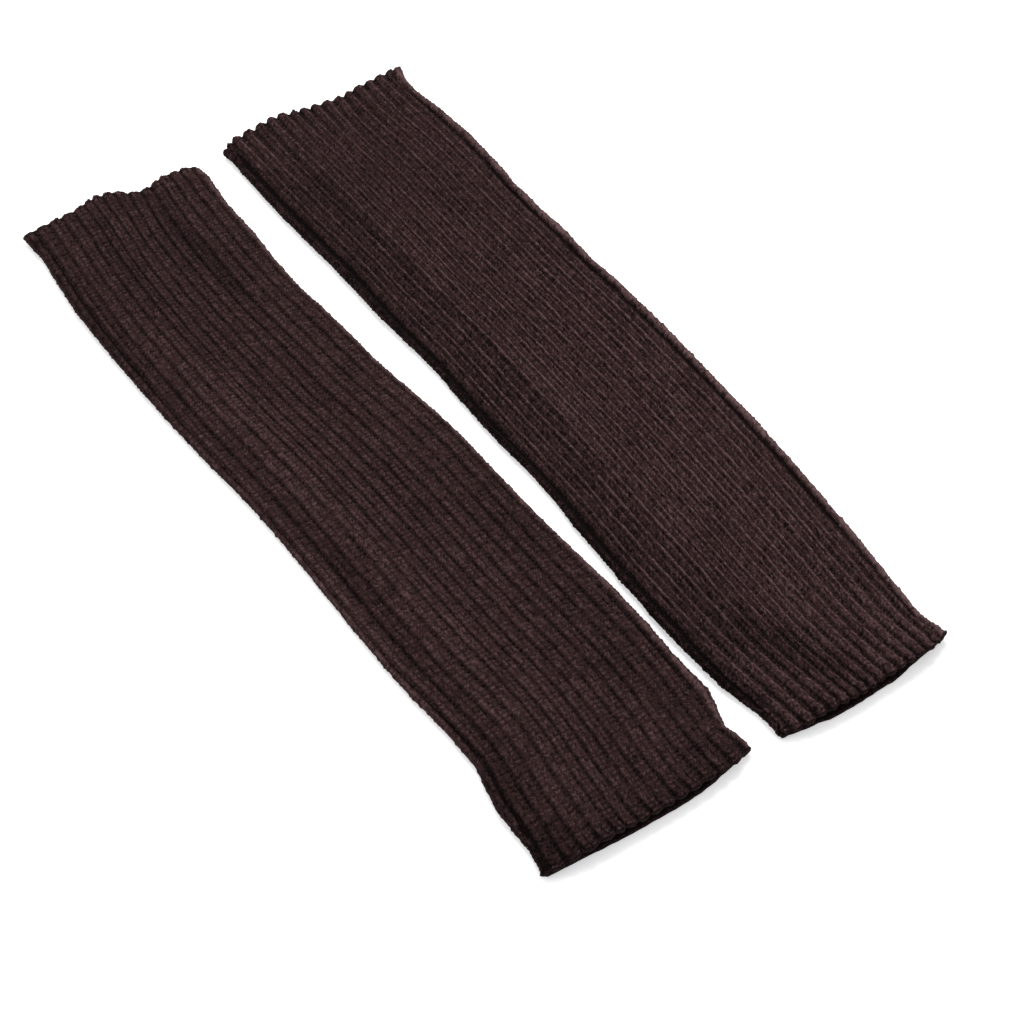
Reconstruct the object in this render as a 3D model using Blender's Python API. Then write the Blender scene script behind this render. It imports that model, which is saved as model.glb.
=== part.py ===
"""A pair of ribbed wool leg warmers laid flat side by side, each one a seamless knitted tube."""

import math
from collections import namedtuple

import bmesh
import bpy

MM = 0.001

# All the sizes below are millimetres. X runs across the pair, Y from its near ends to its far ends.
NEAR_END = -221.0  # where the near edges would lie if they were straight
FAR_END = 214.0
LOWER_WALL = 2.4  # the layer that lies on the table
LAYER_GAP = 0.5  # between the two layers where they lie on each other
UPPER_WALL = 1.9  # the upper layer in a groove between two ribs
RIB_HEIGHT = 1.1
SIDE_ROLL = 3.3  # how far in from the outline the rounded side folds reach
SCALLOP = 0.7  # how far a rib stands out beyond the grooves beside it at either end

END_REACH = 30.0  # how far back from an end its uneven edge still bends the knitting
MOUTH_LENGTH = 26.0  # how far back from an end its upper layer stands off the lower one
NEAR_LIFT = 3.0
FAR_LIFT = 0.9

SECTIONS = 26
END_STEPS = (0.0, 4.0, 9.0, 16.0)  # the sections that stand close together at both ends
ROLL_POINTS = 5
UNDERSIDE_POINTS = 12
INSIDE_POINTS = 11
INSIDE_MARGIN = 3.6  # from the outline to the edge of the slit between the layers

Section = namedtuple("Section", "along left right")
Edge = namedtuple("Edge", "share far near near_under")
Spacing = namedtuple("Spacing", "share width")
Fold = namedtuple("Fold", "share start end half_width rise")
RibPoint = namedtuple("RibPoint", "phase height")
Warmer = namedtuple("Warmer", "name sections edges spacing folds ribs rib_form border_height")

LEFT_SECTIONS = (
    Section(-221, -115.0, -12.0),
    Section(-213, -112.5, -12.2),
    Section(-206, -111.5, -14.0),
    Section(-198, -112.6, -12.4),
    Section(-194, -113.8, -6.6),
    Section(-180, -111.0, -8.4),
    Section(-165, -106.6, -8.4),
    Section(-150, -105.6, -7.5),
    Section(-115, -107.7, -7.5),
    Section(-80, -107.9, -9.5),
    Section(-40, -106.9, -10.3),
    Section(0, -106.9, -10.8),
    Section(48, -109.8, -15.6),
    Section(80, -111.2, -16.3),
    Section(116, -111.6, -18.8),
    Section(158, -111.2, -16.4),
    Section(176, -109.2, -16.6),
    Section(196, -106.7, -14.7),
    Section(206, -107.3, -13.6),
    Section(214, -107.6, -15.4),
)
RIGHT_SECTIONS = (
    Section(-221, 1.2, 90.6),
    Section(-212, 1.7, 88.9),
    Section(-202, 1.5, 87.5),
    Section(-192, 0.1, 88.3),
    Section(-181, -2.5, 90.5),
    Section(-150, -3.2, 94.4),
    Section(-120, -2.1, 97.5),
    Section(-90, -0.8, 100.0),
    Section(-55, 2.0, 102.0),
    Section(-15, 1.2, 103.6),
    Section(35, 3.3, 104.2),
    Section(50, 2.2, 103.1),
    Section(75, 1.1, 104.5),
    Section(105, 1.5, 103.4),
    Section(135, 0.8, 106.1),
    Section(170, 0.5, 106.2),
    Section(197, 1.7, 103.2),
    Section(207, 0.9, 104.6),
    Section(214, -0.4, 108.2),
)

# How far beyond NEAR_END and FAR_END the edges lie, across from left to right: the upper layer's at
# both ends, and the lower layer's at the near end.
LEFT_EDGES = (
    Edge(0.00, -0.4, 1.6, 1.6),
    Edge(0.06, -0.6, 0.4, 1.2),
    Edge(0.20, -1.2, -0.4, -0.2),
    Edge(0.32, 0.4, -0.6, -0.6),
    Edge(0.43, 3.8, -0.8, -0.9),
    Edge(0.55, 1.0, -0.8, -1.2),
    Edge(0.59, -4.8, -0.8, -1.2),
    Edge(0.72, -5.8, -0.5, -0.8),
    Edge(0.82, -2.8, 0.0, 0.4),
    Edge(0.93, -3.0, 1.2, 3.2),
    Edge(1.00, -4.0, 4.2, 4.2),
)
RIGHT_EDGES = (
    Edge(0.00, -1.2, 2.4, 2.4),
    Edge(0.05, 2.6, 0.2, 0.8),
    Edge(0.15, 3.2, -0.8, -1.2),
    Edge(0.25, 4.4, -1.0, -1.4),
    Edge(0.34, 4.2, -1.2, -1.5),
    Edge(0.41, 0.8, -1.2, -1.1),
    Edge(0.55, 0.2, -1.0, -0.8),
    Edge(0.66, -0.8, -0.8, -0.3),
    Edge(0.80, 0.9, -0.2, 2.0),
    Edge(0.92, 2.4, 1.0, 4.0),
    Edge(1.00, 4.2, 4.4, 4.4),
)

# A packing crease a third of the way across stretches the ribs on its left and bunches those on its right.
LEFT_SPACING = (
    Spacing(0.00, 7.0),
    Spacing(0.24, 7.4),
    Spacing(0.30, 5.0),
    Spacing(0.42, 5.6),
    Spacing(1.00, 7.6),
)
RIGHT_SPACING = (
    Spacing(0.00, 6.6),
    Spacing(0.28, 7.5),
    Spacing(0.36, 5.4),
    Spacing(0.60, 6.5),
    Spacing(1.00, 7.2),
)
LEFT_FOLDS = (
    Fold(share=0.28, start=-260, end=250, half_width=17, rise=1.3),
    Fold(share=0.12, start=-130, end=110, half_width=8, rise=-0.4),
    Fold(share=0.80, start=-150, end=260, half_width=24, rise=0.6),
)
RIGHT_FOLDS = (
    Fold(share=0.29, start=-260, end=260, half_width=16, rise=1.3),
    Fold(share=0.37, start=-240, end=200, half_width=6, rise=-0.4),
    Fold(share=0.75, start=-260, end=200, half_width=26, rise=0.7),
)

# One knit rib from groove to groove, as the face and as the turned-out reverse side show it.
FACE_RIB = (
    RibPoint(0.00, 0.0),
    RibPoint(0.18, 0.85),
    RibPoint(0.50, 1.0),
    RibPoint(0.82, 0.85),
)
REVERSE_RIB = (
    RibPoint(0.00, 1.0),
    RibPoint(0.18, 0.2),
    RibPoint(0.58, 0.55),
    RibPoint(0.82, 0.2),
)

LEFT = Warmer(
    "left_leg_warmer", LEFT_SECTIONS, LEFT_EDGES, LEFT_SPACING, LEFT_FOLDS, 14, FACE_RIB, 0.0
)
RIGHT = Warmer(
    "right_leg_warmer", RIGHT_SECTIONS, RIGHT_EDGES, RIGHT_SPACING, RIGHT_FOLDS, 15, REVERSE_RIB, -0.1
)

WOOL_COLOUR = (0.036, 0.021, 0.020, 1.0)
WOOL_ROUGHNESS = 0.95


def clear_scene():
    for item in list(bpy.data.objects):
        bpy.data.objects.remove(item, do_unlink=True)


def smooth(value):
    """0 to 1 with a level start and end."""
    value = min(max(value, 0.0), 1.0)
    return value * value * (3.0 - 2.0 * value)


def straight(rows, key, column, place):
    """The column's value at a place, on straight lines between the table's rows."""
    for low, high in zip(rows, rows[1:]):
        start = getattr(low, key)
        end = getattr(high, key)
        if place <= end:
            part = max(0.0, (place - start) / (end - start))
            return getattr(low, column) * (1.0 - part) + getattr(high, column) * part
    return getattr(rows[-1], column)


def curved(rows, column, place):
    """The column's value at a place along the warmer, on a smooth curve through the rows."""
    index = 0
    while index < len(rows) - 2 and place > rows[index + 1].along:
        index += 1
    near = rows[index]
    far = rows[index + 1]
    span = far.along - near.along
    part = min(max((place - near.along) / span, 0.0), 1.0)

    def slope(middle):
        before = rows[max(middle - 1, 0)]
        after = rows[min(middle + 1, len(rows) - 1)]
        rise = getattr(after, column) - getattr(before, column)
        return rise / (after.along - before.along)

    value = getattr(near, column) * (1 + 2 * part) * (1 - part) ** 2
    value += slope(index) * span * part * (1 - part) ** 2
    value += getattr(far, column) * part**2 * (3 - 2 * part)
    value -= slope(index + 1) * span * part**2 * (1 - part)
    return value


def rib_borders(warmer):
    """Shares of the width at which one rib ends and the next begins."""
    widths = []
    for rib in range(warmer.ribs):
        middle = (rib + 0.5) / warmer.ribs
        widths.append(straight(warmer.spacing, "share", "width", middle))
    total = sum(widths)
    borders = [0.0]
    for width in widths:
        borders.append(borders[-1] + width / total)
    return borders


def rib_profile(warmer):
    """(share of the width, height above the grooves) across the upper layer, from left to right."""
    borders = rib_borders(warmer)
    profile = []
    for low, high in zip(borders, borders[1:]):
        for point in warmer.rib_form:
            share = low + (high - low) * point.phase
            profile.append((share, point.height * RIB_HEIGHT))
    border = warmer.border_height * RIB_HEIGHT
    profile[0] = (0.0, border)
    profile.append((1.0, border))
    return profile


def stations():
    """Where the sections stand along the warmer, close together at both ends."""
    near = [NEAR_END + step for step in END_STEPS]
    far = [FAR_END - step for step in reversed(END_STEPS)]
    between = SECTIONS - len(near) - len(far)
    span = far[0] - near[-1]
    middle = [near[-1] + span * (step + 1) / (between + 1) for step in range(between)]
    return near + middle + far


def fold_rise(warmer, share, along, width):
    rise = 0.0
    for fold in warmer.folds:
        across = abs(share - fold.share) * width / fold.half_width
        length = (fold.end - fold.start) / 2
        lengthwise = abs(along - (fold.start + fold.end) / 2) / length
        rise += fold.rise * (1 - smooth(across)) * (1 - smooth(2 * lengthwise - 1))
    return rise


def mouth_lift(share, along):
    """How far the upper layer stands off the lower one at the open ends, most in mid width."""
    near = 1.0 - smooth((along - NEAR_END) / MOUTH_LENGTH)
    far = 1.0 - smooth((FAR_END - along) / MOUTH_LENGTH)
    across = smooth(6.0 * share) * smooth(6.0 * (1.0 - share))
    return (NEAR_LIFT * near + FAR_LIFT * far) * across


def slit_top(warmer, share, along, width):
    """Height of the upper layer's plain inner side."""
    form = fold_rise(warmer, share, along, width) * smooth(8.0 * share) * smooth(8.0 * (1.0 - share))
    return LOWER_WALL + LAYER_GAP + max(form, 0.0) + mouth_lift(share, along)


def edge_reach(warmer, share, layer, end):
    """How far beyond its nominal end a layer's edge lies: layer is 1 for the upper and 0 for the lower."""
    upper = straight(warmer.edges, "share", end, share)
    if end == "near":
        lower = straight(warmer.edges, "share", "near_under", share)
    else:
        lower = warmer.edges[0].far * (1.0 - share) + warmer.edges[-1].far * share
    return upper * layer + lower * (1.0 - layer)


def end_shift(warmer, share, along, layer, scallop=0.0):
    """How far a point near an end moves along, so that the edge there is as uneven as in the photo."""
    near = smooth(1.0 - (along - NEAR_END) / END_REACH)
    far = smooth(1.0 - (FAR_END - along) / END_REACH)
    near_reach = edge_reach(warmer, share, layer, "near") - scallop
    far_reach = edge_reach(warmer, share, layer, "far") + scallop
    return near * near_reach + far * far_reach


def outside_ring(warmer, along):
    """The section's outer line: ribbed top, rounded side folds and a plain flat underside."""
    left = curved(warmer.sections, "left", along)
    right = curved(warmer.sections, "right", along)
    width = right - left - 2 * SIDE_ROLL
    ring = []
    for share, rib in rib_profile(warmer):
        height = slit_top(warmer, share, along, width) + UPPER_WALL + rib
        scallop = SCALLOP * (rib / RIB_HEIGHT - 0.5)
        y = along + end_shift(warmer, share, along, 1.0, scallop)
        ring.append((left + SIDE_ROLL + share * width, y, height))
    roll_height = LOWER_WALL + LAYER_GAP + UPPER_WALL + RIB_HEIGHT
    for step in range(1, ROLL_POINTS + 1):
        ring.append(roll_point(warmer, along, right - SIDE_ROLL, 1.0, step, roll_height))
    for step in range(UNDERSIDE_POINTS + 1):
        share = 1.0 - step / UNDERSIDE_POINTS
        y = along + end_shift(warmer, share, along, 0.0)
        ring.append((left + SIDE_ROLL + share * width, y, 0.0))
    for step in range(ROLL_POINTS, 0, -1):
        ring.append(roll_point(warmer, along, left + SIDE_ROLL, 0.0, step, roll_height))
    return ring


def roll_point(warmer, along, centre, share, step, height):
    """A point of a side fold, counted from its top down, on the half round beyond the flat layers."""
    angle = math.pi * (0.5 - step / (ROLL_POINTS + 1))
    outward = 1.0 if share > 0.5 else -1.0
    layer = 0.5 + 0.5 * math.sin(angle)
    y = along + end_shift(warmer, share, along, layer)
    return (centre + outward * SIDE_ROLL * math.cos(angle), y, height * layer)


def inside_ring(warmer, along):
    """The section's inner line: a plain slit between the two layers."""
    left = curved(warmer.sections, "left", along) + INSIDE_MARGIN
    right = curved(warmer.sections, "right", along) - INSIDE_MARGIN
    width = right - left
    ring = []
    for step in range(INSIDE_POINTS + 1):
        share = step / INSIDE_POINTS
        y = along + end_shift(warmer, share, along, 1.0)
        ring.append((left + share * width, y, slit_top(warmer, share, along, width)))
    for step in range(INSIDE_POINTS + 1):
        share = 1.0 - step / INSIDE_POINTS
        y = along + end_shift(warmer, share, along, 0.0)
        ring.append((left + share * width, y, LOWER_WALL))
    return ring


def add_rings(mesh, rings):
    """Adds the rings' points and joins each ring to the next. Returns the first and the last ring."""
    lines = []
    for ring in rings:
        lines.append([mesh.verts.new((x * MM, y * MM, z * MM)) for x, y, z in ring])
    for low, high in zip(lines, lines[1:]):
        for index, corner in enumerate(low):
            after = (index + 1) % len(low)
            mesh.faces.new((corner, low[after], high[after], high[index]))
    return lines[0], lines[-1]


def close_end(mesh, outer, inner, top_share):
    """Joins an outer ring to an inner ring with fewer points, layer by layer."""
    outer_top = round(len(outer) * top_share)
    half = len(inner) // 2
    join_lines(mesh, outer[: outer_top + 1], inner[:half])
    join_lines(mesh, outer[outer_top:] + outer[:1], inner[half:])
    mesh.faces.new((outer[outer_top], inner[half], inner[half - 1]))
    mesh.faces.new((outer[0], inner[0], inner[-1]))


def join_lines(mesh, long_line, short_line):
    """Triangles between two open lines that run the same way."""
    done_long = 0
    done_short = 0
    while done_long < len(long_line) - 1 or done_short < len(short_line) - 1:
        next_long = (done_long + 1) / (len(long_line) - 1)
        next_short = (done_short + 1) / max(len(short_line) - 1, 1)
        corner = long_line[done_long]
        partner = short_line[done_short]
        if next_long <= next_short:
            done_long += 1
            mesh.faces.new((corner, long_line[done_long], partner))
        else:
            done_short += 1
            mesh.faces.new((corner, short_line[done_short], partner))


def wool(name):
    material = bpy.data.materials.new(name)
    material.use_nodes = True
    shader = material.node_tree.nodes["Principled BSDF"]
    shader.inputs["Base Color"].default_value = WOOL_COLOUR
    shader.inputs["Roughness"].default_value = WOOL_ROUGHNESS
    shader.inputs["Metallic"].default_value = 0.0
    material.diffuse_color = WOOL_COLOUR
    return material


def build_warmer(warmer, collection):
    mesh = bmesh.new()
    places = stations()
    outer = add_rings(mesh, [outside_ring(warmer, along) for along in places])
    inner = add_rings(mesh, [inside_ring(warmer, along) for along in places])
    top_points = len(rib_profile(warmer)) + (ROLL_POINTS - 1) / 2
    for outer_ring, inner_ring in zip(outer, inner):
        close_end(mesh, outer_ring, inner_ring, top_points / len(outer_ring))
    bmesh.ops.recalc_face_normals(mesh, faces=mesh.faces)
    data = bpy.data.meshes.new(warmer.name)
    mesh.to_mesh(data)
    mesh.free()
    data.shade_smooth()
    data.materials.append(wool(warmer.name + "_wool"))
    item = bpy.data.objects.new(warmer.name, data)
    collection.objects.link(item)
    return item


def centre_on_origin(items):
    """Moves the pair so that the middle of its footprint is the origin. Its underside is at height 0."""
    points = [vertex.co for item in items for vertex in item.data.vertices]
    middle_x = (min(point.x for point in points) + max(point.x for point in points)) / 2
    middle_y = (min(point.y for point in points) + max(point.y for point in points)) / 2
    for item in items:
        item.location = (-middle_x, -middle_y, 0.0)


def main():
    clear_scene()
    collection = bpy.data.collections.new("leg_warmers")
    bpy.context.scene.collection.children.link(collection)
    items = [build_warmer(warmer, collection) for warmer in (LEFT, RIGHT)]
    centre_on_origin(items)


main()
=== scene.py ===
import math
from collections import namedtuple

import bpy
import numpy as np
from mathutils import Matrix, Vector
from mathutils.bvhtree import BVHTree


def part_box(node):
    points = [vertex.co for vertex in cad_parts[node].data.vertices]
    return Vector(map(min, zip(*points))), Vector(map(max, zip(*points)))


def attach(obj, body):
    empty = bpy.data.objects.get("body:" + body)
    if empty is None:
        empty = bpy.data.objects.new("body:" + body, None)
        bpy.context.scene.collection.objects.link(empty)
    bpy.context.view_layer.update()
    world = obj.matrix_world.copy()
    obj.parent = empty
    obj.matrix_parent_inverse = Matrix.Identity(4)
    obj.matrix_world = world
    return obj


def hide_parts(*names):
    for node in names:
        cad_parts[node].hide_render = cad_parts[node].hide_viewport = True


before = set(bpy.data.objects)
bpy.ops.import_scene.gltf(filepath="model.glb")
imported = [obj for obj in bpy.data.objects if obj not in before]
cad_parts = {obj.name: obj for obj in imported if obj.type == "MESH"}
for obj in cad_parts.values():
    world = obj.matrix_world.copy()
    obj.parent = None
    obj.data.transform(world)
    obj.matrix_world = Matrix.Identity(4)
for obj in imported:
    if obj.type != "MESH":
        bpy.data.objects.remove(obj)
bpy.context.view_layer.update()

bl_info = {
    "name": "Ribbed Wool Leg Warmers",
    "version": (1, 0, 0),
    "blender": (4, 5, 0),
    "location": "View3D > Sidebar > Leg Warmers",
    "description": "Knits a pair of ribbed wool leg warmers over their plain solids and lights them",
    "category": "Object",
}

MM = 0.001

# ---------------------------------------------------------------------------------------------
# The cloth. Sizes here are millimetres: X runs across the pair and Y from its near to its far ends.
# ---------------------------------------------------------------------------------------------

UPPER_WALL = 1.9  # the upper layer at the bottom of a groove
THINNEST_WALL = 0.5  # the same, where a crease runs along the groove
SIDE_ROLL = 3.3  # how far in from the outline the rounded side folds reach
ROLL_BELOW = 0.8  # how far a side fold's grooves lie inside the outline
SLIT_MARGIN = 4.2  # in from the outline, where the slit between the layers is sure to be open
LOWER_MIDDLE = 1.2  # half way up the lower layer
LOWER_TOP = 2.4  # the upper side of the lower layer
IN_SLIT = 2.65  # a height that is in the slit between the layers everywhere
SIDE_HEIGHT = 3.0  # about where a side fold stands out furthest
UNDER_GROOVE = 0.35  # the grooves of the underside, above the floor
UNDER_CREST = 0.3  # how proud a stitch of the underside stands, in shares of UNDER_DEPTH
UNDER_DEPTH = 0.05
RIM_BULGE = 0.9  # the rounding of the cloth's edges
USUAL_RELIEF = 0.6  # how far the upper surface stands above its grooves, on the whole
END_REACH = 34.0  # how far back from an end its uneven edge still bends the rows
TIP_REACH = 7.0  # how far back from an end its ribs part into separate tips
CALMING = 450  # how strongly the ribs even out the bends of the outline
EVEN_ROWS = 4.0  # half rows at an end over which the slant of the stitches starts
RIB_WIDTH = 6.4  # one rib, laid flat
LEAN_LIMIT = 1.2  # a sideways lean of the ribs grows up to this share of its length
LEAN_CURVE = 1.5
FOLD_LIMIT = 0.6  # the last groove drifts no further than this share of SIDE_ROLL from its place
ROLL_CALM = 0.5  # how deep the stitches are on the side folds, in shares of those on top
ROLL_SHARE = 0.7  # the share of a side fold, from the top down, that has its painted light (right fold) and painted shade (left fold)

SIDE_START = 20.0  # how far outside the solid the rays start that come from its sides
END_START = 10.0  # the same, from its ends and from above
SIDE_STEP = 1.0
SIDE_JUMP = 2.6  # a bigger step than this between two points of the outline is its corner
EDGE_DEPTH = 14.0  # the uneven edges lie no further back than this from the furthest tip
EDGE_STEP = 0.25
EDGE_PLACES = 111  # across an end, where its edge is read
CORNER_SHARE = 0.012  # the edge is read no nearer to its corners than this share of the width
ROOF_SLIPS = (0.0, 0.11, -0.13, 0.29)  # how far aside a ray is sent that slips between two faces
READ_ACROSS = 41
READ_ALONG = 91
READ_INSIDE = 1.5  # how far in from an end the slit's height is read
# shares of the length, from either end, at which the inner side has its rings of points
INSIDE_PLACES = (0.0, 0.004, 0.009, 0.016, 0.03, 0.06, 0.12, 0.2, 0.28, 0.36, 0.44)
RIM_STEPS = 3  # rings of points round a rim
STITCH_LINES = 4  # lines of points along one column of stitches

CREST_HIGHLIGHT_TONE = 1.25  # the tone of the painted crest highlight. The painted shade down in the grooves has tone 0
TONE_LIMITS = (-0.2, 1.4)
FUZZ = 0.05  # how far single points stand off their place
RIB_EVENNESS = 0.75  # the share of a rib's height that is the same at every stitch
MOTTLE_CURVE = 0.7  # over 0, the shallow stitches of the side folds are more mottled than those on top
MOTTLE_LIMIT = 2.5
STITCH_STRENGTH = (0.30, 1.70)  # the shallowest and the deepest stitch, in shares of their usual depth
STITCH_SHIFT = 0.12  # how far a stitch lies off its row
UNEVEN_ALONG = 0.32  # the same, for each part of a warmer's unevenness
UNEVEN_ACROSS = 0.42  # and off its rib
POINT_ALONG = 0.07  # how far each point lies off its row and its line
POINT_ACROSS = 0.06
CALM_START = 20.0  # where the ribs of a calm far part start to fade
CALM_REACH = 160.0  # how far further on they have faded by their full share
TIP_SHARE = 0.95  # how much of its own form a rib gives up for its tip
TIP_SHADE = 0.25
GATHERED_GROOVE_SHADE = 0.02  # the painted shade of the yarn in the grooves of a gathered end
# the painted light on the cords of a gathered end
GATHERED_CORD_LIGHT = 0.72
GATHERED_CURVE = 1.4  # over 1, the grooves of a gathered end are wider than its ribs
# painted highlights on the crests of the stitches and painted shade in the hollows between them
LOOP_LIGHT_AND_SHADE = 0.15
STITCH_TONE = 0.06
STITCH_TONE_LIMIT = 2.0
SWELL_FADE = 2.0  # the height over which the slow swells of the cloth die away down its side folds

StitchPoint = namedtuple("StitchPoint", "part lean crest dip")
RibPoint = namedtuple("RibPoint", "phase height tone")
Stitch = namedtuple("Stitch", "form start end")
Spacing = namedtuple("Spacing", "share width")
Lean = namedtuple("Lean", "start end shift")
FoldPlace = namedtuple("FoldPlace", "along first last")
Gather = namedtuple("Gather", "along share")
Place = namedtuple("Place", "along inset strength")
Band = namedtuple("Band", "side half rise tone places")
Wave = namedtuple("Wave", "size across along")
Line = namedtuple("Line", "part rib phase height tone lean crest dip")
Warmer = namedtuple(
    "Warmer",
    "name solid ribs spacing folds lean rib_form stitches plain_height plain_tone"
    " border_height border_tone left_roll_tone right_roll_tone mottle uneven far_calm groove"
    " near_tips far_tips near_scallop far_scallop scallop_turn gathers bands seed",
)

# Slow drifts: how far they go and how many bends they have across and along the cloth. Those with no
# number across bend each rib by itself.
ROW_WAVES = (Wave(0.5, 9, 12),)
RIB_WAVES = (Wave(0.34, 0, 14), Wave(0.204, 0, 40))
FADE_WAVES = (Wave(0.22, 0, 44), Wave(0.10, 0, 120))
SWELL_WAVES = (Wave(0.20, 16, 26), Wave(0.08, 40, 70))
TONE_WAVES = (Wave(0.03, 14, 24),)

# Across one stitch: how many rows its line leans, and how proud it stands in the middle of a row and
# between two rows, in shares of the stitch's depth.
KNIT = (
    StitchPoint(0.00, 0.24, -0.80, -1.00),
    StitchPoint(0.25, 0.04, 0.90, -0.80),
    StitchPoint(0.50, -0.20, 0.80, -0.90),
    StitchPoint(0.75, 0.04, 0.90, -0.80),
)
PURL = (
    StitchPoint(0.00, 0.00, -0.50, -0.90),
    StitchPoint(0.25, 0.00, 0.70, -0.90),
    StitchPoint(0.50, 0.00, 1.00, -1.00),
    StitchPoint(0.75, 0.00, 0.70, -0.90),
)
SLANTED_PURL = (
    StitchPoint(0.00, -0.46, -0.40, -0.60),
    StitchPoint(0.25, -0.32, 0.55, -0.55),
    StitchPoint(0.50, -0.16, 0.65, -0.65),
    StitchPoint(0.75, -0.04, 0.30, -0.60),
)
SLANTED_PURL_AFTER = (
    StitchPoint(0.00, -0.10, 0.00, -0.45),
    StitchPoint(0.25, 0.06, 0.65, -0.40),
    StitchPoint(0.50, 0.24, 0.55, -0.65),
    StitchPoint(0.75, 0.40, 0.00, -0.60),
)
RIDGE = (
    StitchPoint(0.00, 0.46, -0.50, -0.80),
    StitchPoint(0.25, 0.22, 0.50, -0.50),
    StitchPoint(0.50, 0.00, 0.60, -0.40),
    StitchPoint(0.75, -0.22, 0.50, -0.50),
)

# One rib, from the middle of a groove to the middle of the next. The face shows two knit columns with a
# purl column sunk between ribs, steeper on the left where the rib leans over its groove. The turned-out
# reverse shows two purl columns between thin knit ridges.
# The tone columns are painted shade, near black, down in the grooves and valleys, and painted highlights
# on the crests and ridges.
FACE_FORM = (
    RibPoint(0.00, 0.00, 0.15),
    RibPoint(0.05, 0.34, 0.26),
    RibPoint(0.11, 0.80, 0.45),
    RibPoint(0.20, 0.98, 0.54),
    RibPoint(0.32, 1.00, 0.53),
    RibPoint(0.43, 0.92, 0.49),
    RibPoint(0.50, 0.84, 0.44),
    RibPoint(0.57, 0.88, 0.47),
    RibPoint(0.68, 0.92, 0.49),
    RibPoint(0.80, 0.84, 0.43),
    RibPoint(0.89, 0.60, 0.36),
    RibPoint(0.95, 0.28, 0.26),
    RibPoint(1.00, 0.00, 0.15),
)
FACE_STITCHES = (
    Stitch(PURL, -0.11, 0.11),
    Stitch(KNIT, 0.11, 0.50),
    Stitch(KNIT, 0.50, 0.89),
)
REVERSE_FORM = (
    RibPoint(0.00, 0.88, 0.81),
    RibPoint(0.06, 0.72, 0.70),
    RibPoint(0.12, 0.30, 0.36),
    RibPoint(0.20, 0.10, 0.23),
    RibPoint(0.32, 0.14, 0.36),
    RibPoint(0.48, 0.24, 0.35),
    RibPoint(0.60, 0.50, 0.66),
    RibPoint(0.71, 0.20, 0.34),
    RibPoint(0.81, 0.03, 0.21),
    RibPoint(0.88, 0.30, 0.36),
    RibPoint(0.94, 0.72, 0.70),
    RibPoint(1.00, 0.88, 0.81),
)
REVERSE_STITCHES = (
    Stitch(RIDGE, -0.12, 0.12),
    Stitch(SLANTED_PURL, 0.12, 0.50),
    Stitch(SLANTED_PURL_AFTER, 0.50, 0.88),
)

# Round a side fold, from the last groove on top to the underside. Its tone is painted shade in the
# groove and low down towards the underside, and painted light on the fold's top.
ROLL_FORM = (
    RibPoint(0.00, 0.10, 0.10),
    RibPoint(0.08, 0.62, 0.46),
    RibPoint(0.17, 0.98, 0.62),
    RibPoint(0.33, 0.78, 0.38),
    RibPoint(0.43, 0.94, 0.58),
    RibPoint(0.52, 0.90, 0.50),
    RibPoint(0.60, 0.50, 0.34),
    RibPoint(0.78, 0.15, 0.16),
    RibPoint(1.00, 0.40, 0.30),
)
ROLL_STITCHES = (
    Stitch(KNIT, 0.00, 0.33),
    Stitch(KNIT, 0.33, 0.66),
    Stitch(PURL, 0.66, 1.00),
)
# The underside, with painted shade down in its grooves.
UNDER_FORM = (
    RibPoint(0.00, 0.0, 0.10),
    RibPoint(0.50, 1.0, 0.45),
)

WHOLE_WIDTH = 90.0  # the half width of a band that lies over the cloth from side to side
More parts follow.
